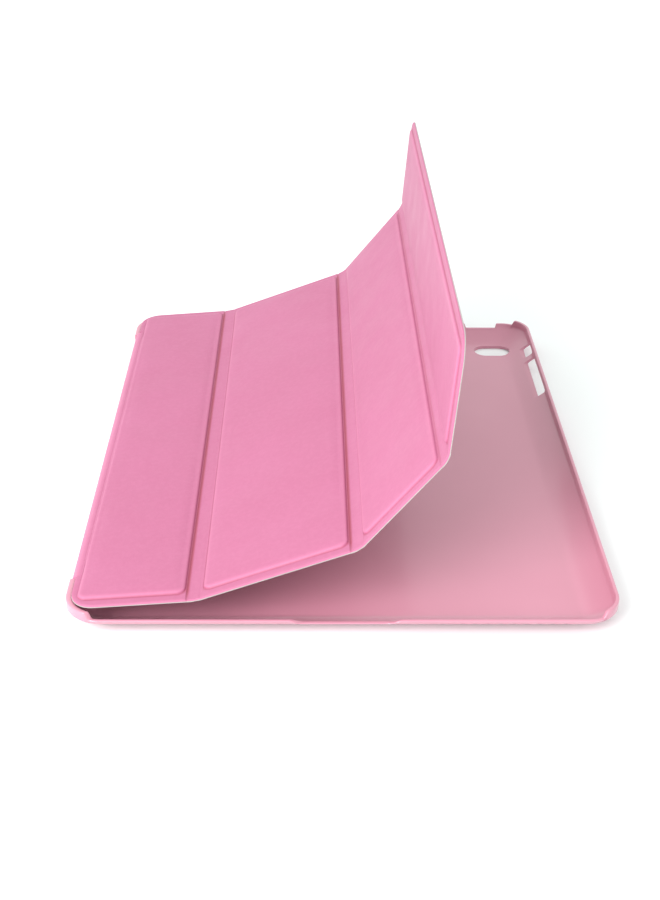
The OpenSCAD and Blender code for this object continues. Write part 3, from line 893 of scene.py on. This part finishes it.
def shell_rings(across, along):
    """The shell's rings, from the underside's middle up the outside, over the rim, and down to the floor."""
    def outer(inset):
        r = max(SHELL_R - inset, MIN_R)
        return ring(-SHELL_W / 2 + inset, SHELL_W / 2 - inset, SHELL_L / 2 - inset, r, r, across, along,
                    CORNER_STEPS)

    def inner(inset):
        d = inset - WALL
        r = max(BAY_R - d, MIN_R)
        return ring(BAY_X - BAY_W / 2 + d, BAY_X + BAY_W / 2 - d, BAY_L / 2 - d, r, r, across, along,
                    CORNER_STEPS)

    # Distances inside the outer wall, and the heights there. Those where the underside's sweep starts and
    # those near the rim are given one by one.
    out_in = np.array([16.0, 14.4, 13.2, 12.4, 11.0, 9.5, 8.0, 6.5, 5.0, 3.8, 2.7, 1.7, 0.9, 0.45, 0.16, 0.03,
                       0.0, 0.0])
    out_z = under_z(out_in)
    out_z[2:4] = [0.02, 0.19]
    out_z[-5:] = [float(under_z(0.45)) + 0.04, 6.86, 7.08, 7.3, RIM_Z - RIM_FILLET]
    in_in = np.array([1.3, 1.3, 1.33, 1.5, 1.9, 2.7, 3.7, 5.0, 6.5, 8.0, 9.5, 11.0, 12.2, 13.2, 14.5, 16.0])
    in_z = bay_z(in_in)
    in_z[:4] = [RIM_Z - RIM_FILLET, 7.6, 7.35, float(bay_z(1.5)) + 0.08]

    rim = rim_height(*outer(0.0).T)
    outside = fitted(np.array([outer(e) for e in out_in]), out_z, OUT_FIT_Z, rim)
    inside = fitted(np.array([inner(e) for e in in_in]), in_z, IN_FIT_Z, rim)
    top = [at_height((outside[-1] * (1 - share) + inside[0] * share)[:, :2], rim - depth)
           for share, depth in RIM_PROFILE]
    return outside + top + inside


def prism(points, axis, low, high):
    """Points and faces of a polygon pushed along an axis. Its points lie in the other two, in order."""
    others = [a for a in range(3) if a != axis]
    n = len(points)
    out = np.zeros((2 * n, 3))
    for side, value in enumerate((low, high)):
        out[side * n:(side + 1) * n, others[0]] = [p[0] for p in points]
        out[side * n:(side + 1) * n, others[1]] = [p[1] for p in points]
        out[side * n:(side + 1) * n, axis] = value
    faces = [list(range(n)), list(range(2 * n - 1, n - 1, -1))]
    faces += [[i, (i + 1) % n, n + (i + 1) % n, n + i] for i in range(n)]
    return out, faces


def rounded(x0, x1, y0, y1, radii, k=6):
    """A rectangle with four corner radii, counter-clockwise from the low corner."""
    corners = [(x0, y0, 1, 1, 180), (x1, y0, -1, 1, 270), (x1, y1, -1, -1, 0), (x0, y1, 1, -1, 90)]
    out = []
    for (cx, cy, dx, dy, start), r in zip(corners, radii):
        for i in range(k + 1):
            a = math.radians(start + 90 * i / k)
            out.append((cx + dx * r + r * math.cos(a), cy + dy * r + r * math.sin(a)))
    return out


def joined(name, prisms):
    """One object of several prisms."""
    points, faces, base = [], [], 0
    for p, f in prisms:
        points.append(p)
        faces += [[base + i for i in face] for face in f]
        base += len(p)
    return make_piece(name, np.concatenate(points), faces)


def carve(obj, tool, operation):
    """Cuts or adds a tool object, for good, and removes it."""
    modifier = obj.modifiers.new("carve", "BOOLEAN")
    modifier.operation, modifier.solver, modifier.object = operation, "EXACT", tool
    graph = bpy.context.evaluated_depsgraph_get()
    result = bpy.data.meshes.new_from_object(obj.evaluated_get(graph))
    obj.modifiers.clear()
    before, obj.data = obj.data, result
    bpy.data.meshes.remove(before)
    bpy.data.objects.remove(tool)


def opening_cuts():
    """Prisms for the tab's pocket, the speaker slots, the side keys, the headphone jack and the camera."""
    pocket = rounded(LEDGE_X - 1, LEDGE_X + TAB_W + 0.1, -SPINE_HALF + 0.1, SPINE_HALF - 0.1,
                     (0.2, 0.6, 0.6, 0.2))
    cuts = [prism(pocket, 2, FLOOR - 0.65, FLOOR + 3)]
    for i in range(SLOTS):
        x = FIRST_SLOT_X + SLOT_PITCH * i
        slot = rounded(x - SLOT_W / 2, x + SLOT_W / 2, SLOT_Z, SLOT_Z + SLOT_H, (0.2, 0.2, 1.2, 1.2))
        cuts.append(prism(slot, 1, -SHELL_L / 2 - 1, -SHELL_L / 2 + OPENING_DEPTH))
    for y, length in ((SWITCH_Y, SWITCH_L), (VOLUME_Y, VOLUME_L)):
        key = rounded(y - length / 2, y + length / 2, LOW_Z - SIDE_KEY_H, LOW_Z, (1.2,) * 4)
        cuts.append(prism(key, 0, SHELL_W / 2 - OPENING_DEPTH, SHELL_W / 2 + 1))
    circle = [(JACK_X + JACK_R * math.cos(a), LOW_Z + JACK_R * math.sin(a))
              for a in np.linspace(0, 2 * math.pi, 48, endpoint=False)]
    cuts.append(prism(circle, 1, SHELL_L / 2 - 4.2, SHELL_L / 2 + 1))
    window = rounded(CAMERA_X - CAMERA_HALF_W, CAMERA_X + CAMERA_HALF_W, CAMERA_Y - CAMERA_HALF_H,
                     CAMERA_Y + CAMERA_HALF_H, (CAMERA_HALF_H - 0.01,) * 4, 12)
    cuts.append(prism(window, 2, -1, FLOOR + 4))
    return cuts


def mark_slot_shade(obj):
    """Marks the cut faces in the speaker slots, which get painted shade."""
    # painted shade on the slots' side faces
    slot_shade = obj.data.attributes.new("slot_shade", "FLOAT", "FACE")
    slack = 0.05
    for face in obj.data.polygons:
        x, y, z = face.center / MM
        off_centre = abs((x - FIRST_SLOT_X + SLOT_PITCH / 2) % SLOT_PITCH - SLOT_PITCH / 2)
        in_slot = (off_centre < SLOT_W / 2 + slack
                   and FIRST_SLOT_X - 2 < x < FIRST_SLOT_X + (SLOTS - 1) * SLOT_PITCH + 2
                   and SLOT_Z - slack < z < SLOT_Z + SLOT_H + slack and y < OPENING_DEPTH - SHELL_L / 2)
        slot_shade.data[face.index].value = 0.9 if in_slot and abs(face.normal.y) < 0.02 else 0.0


def shell_piece():
    """The back shell: a swept tray, with its slot and ledge for the spine and all its openings."""
    across, along = short_wall_fractions(), even(56)
    middle = cap(MIDDLE_IN - SHELL_W / 2, SHELL_W / 2 - MIDDLE_IN, SHELL_L / 2 - MIDDLE_IN, across, along)
    middle = middle.reshape(-1, 2)
    layers = [at_height(middle, 0.0)] + shell_rings(across, along) + [at_height(middle, FLOOR)]
    faces = stack_faces(len(layers) - 2, len(across) - 1, len(along) - 1, CORNER_STEPS)
    obj = make_piece("shell_moulding", np.concatenate(layers), faces)

    notch = rounded(-SHELL_W / 2 - 2, SPINE_CUT_X, -SPINE_HALF, SPINE_HALF, (0.1, 1.2, 1.2, 0.1))
    carve(obj, joined("notch", [prism(notch, 2, -1, RIM_Z + 2)]), "DIFFERENCE")
    ledge = rounded(LEDGE_X, SPINE_CUT_X + 1.2, -SPINE_HALF - 0.4, SPINE_HALF + 0.4, (0.5, 0.1, 0.1, 0.5))
    carve(obj, joined("ledge", [prism(ledge, 2, 0, FLOOR)]), "UNION")
    carve(obj, joined("cuts", opening_cuts()), "DIFFERENCE")
    finish_mesh(obj, 32.0, 2e-6)
    # paints shade into the speaker slots
    mark_slot_shade(obj)
    dress(obj, "shell_plastic", "back_shell")
    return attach(obj, "shell")


# ---------------------------------------------------------------- camera, floor and light

CAMERA_PLACE = (-12.35, -492.0, 283.2)
CAMERA_PITCH, CAMERA_YAW, CAMERA_ROLL = 29.49, -1.08, 0.66
CAMERA_LENS = 54.44


def add_camera():
    """The photograph's angle: from in front of the near short edge, looking down along the cover's folds."""
    pitch, yaw, roll = (math.radians(a) for a in (CAMERA_PITCH, CAMERA_YAW, CAMERA_ROLL))
    turn = Matrix.Rotation(yaw, 3, "Z")
    forward = turn @ Vector((0, math.cos(pitch), -math.sin(pitch)))
    right = turn @ Vector((1, 0, 0))
    up = turn @ Vector((0, math.sin(pitch), math.cos(pitch)))
    across = math.cos(roll) * right + math.sin(roll) * up
    upward = -math.sin(roll) * right + math.cos(roll) * up
    data = bpy.data.cameras.new("camera")
    data.sensor_width, data.lens = 36.0, CAMERA_LENS
    data.clip_start, data.clip_end = 0.01, 20.0
    camera = bpy.data.objects.new("camera", data)
    bpy.context.scene.collection.objects.link(camera)
    rotation = Matrix((across, upward, -forward)).transposed()
    camera.matrix_world = Matrix.Translation(Vector(CAMERA_PLACE) * MM) @ rotation.to_4x4()
    bpy.context.scene.camera = camera


def add_area(name, place, target, size, power):
    """A round soft light at a place in metres, turned to a target."""
    data = bpy.data.lights.new(name, "AREA")
    data.shape, data.size, data.energy = "DISK", size, power
    light = bpy.data.objects.new(name, data)
    bpy.context.scene.collection.objects.link(light)
    light.location = place
    light.rotation_mode = "QUATERNION"
    light.rotation_quaternion = (Vector(target) - Vector(place)).to_track_quat("-Z", "Y")


def add_stage():
    """A pale floor just below the shell, an even white surround, and one soft light at the front left."""
    half = 6.0
    mesh = bpy.data.meshes.new("floor")
    mesh.from_pydata([(x * half, y * half, 0) for x, y in ((-1, -1), (1, -1), (1, 1), (-1, 1))], [],
                     [(0, 1, 2, 3)])
    floor = bpy.data.objects.new("floor", mesh)
    bpy.context.scene.collection.objects.link(floor)
    floor.location.z = -0.00002
    mat, nodes, links, shader = new_material("pale_floor")
    coords = object_coords(nodes)
    tone = add_range(nodes, links, add_noise(nodes, links, coords, 1.5, 1.0), 0.3, 0.7, 0.0, 1.0)
    links.new(add_mix(nodes, links, tone, *FLOOR_TONES), shader.inputs["Base Color"])
    shader.inputs["Roughness"].default_value = 0.7
    shader.inputs["Specular IOR Level"].default_value = 0.1
    mesh.materials.append(mat)

    world = bpy.data.worlds.new("studio")
    world.use_nodes = True
    background = world.node_tree.nodes["Background"]
    background.inputs["Color"].default_value = (1.0, 1.0, 1.0, 1.0)
    background.inputs["Strength"].default_value = 1.16
    bpy.context.scene.world = world
    add_area("key", (-0.55, -0.75, 0.55), (-0.03, -0.02, 0.03), 0.6, 11.0)
    bpy.context.scene.view_settings.view_transform = "Standard"


# ---------------------------------------------------------------- assembly

shell_piece()
hinge_top, hinge_top_lining, spine, spine_lining, hinge_low, tab = spine_pieces()
skins = [leather_panel(i) for i in range(4)]
linings = [lining_panel(i) for i in range(4)]
for number, pair in enumerate(zip(skins, linings), 1):
    for piece in pair:
        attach(piece, f"panel_{number}")
folds = [soft_fold(i) for i in (1, 2, 3)]

CAD_FINISH = {"board": ["spine_stiffener"] + [f"panel_{i}_board" for i in (1, 2, 3, 4)],
              "magnet_steel": ["stand_keeper", "closing_magnets", "wake_magnet"]}
for slot_name, names in CAD_FINISH.items():
    for node_name in names:
        obj = frame["nodes"][node_name]
        obj.data.materials.clear()
        obj.data.materials.append(MATERIAL[slot_name])

for i, (skin, lining) in enumerate(zip(skins, linings)):
    start, stop = panel_outline(i)[:2]
    with_skin = [folds[i][0]] if i < 3 else []
    with_lining = [folds[i][1]] if i < 3 else []
    if i == 0:
        with_skin.append(hinge_top)
        with_lining += [hinge_top_lining, spine_lining]

add_camera()
add_stage()
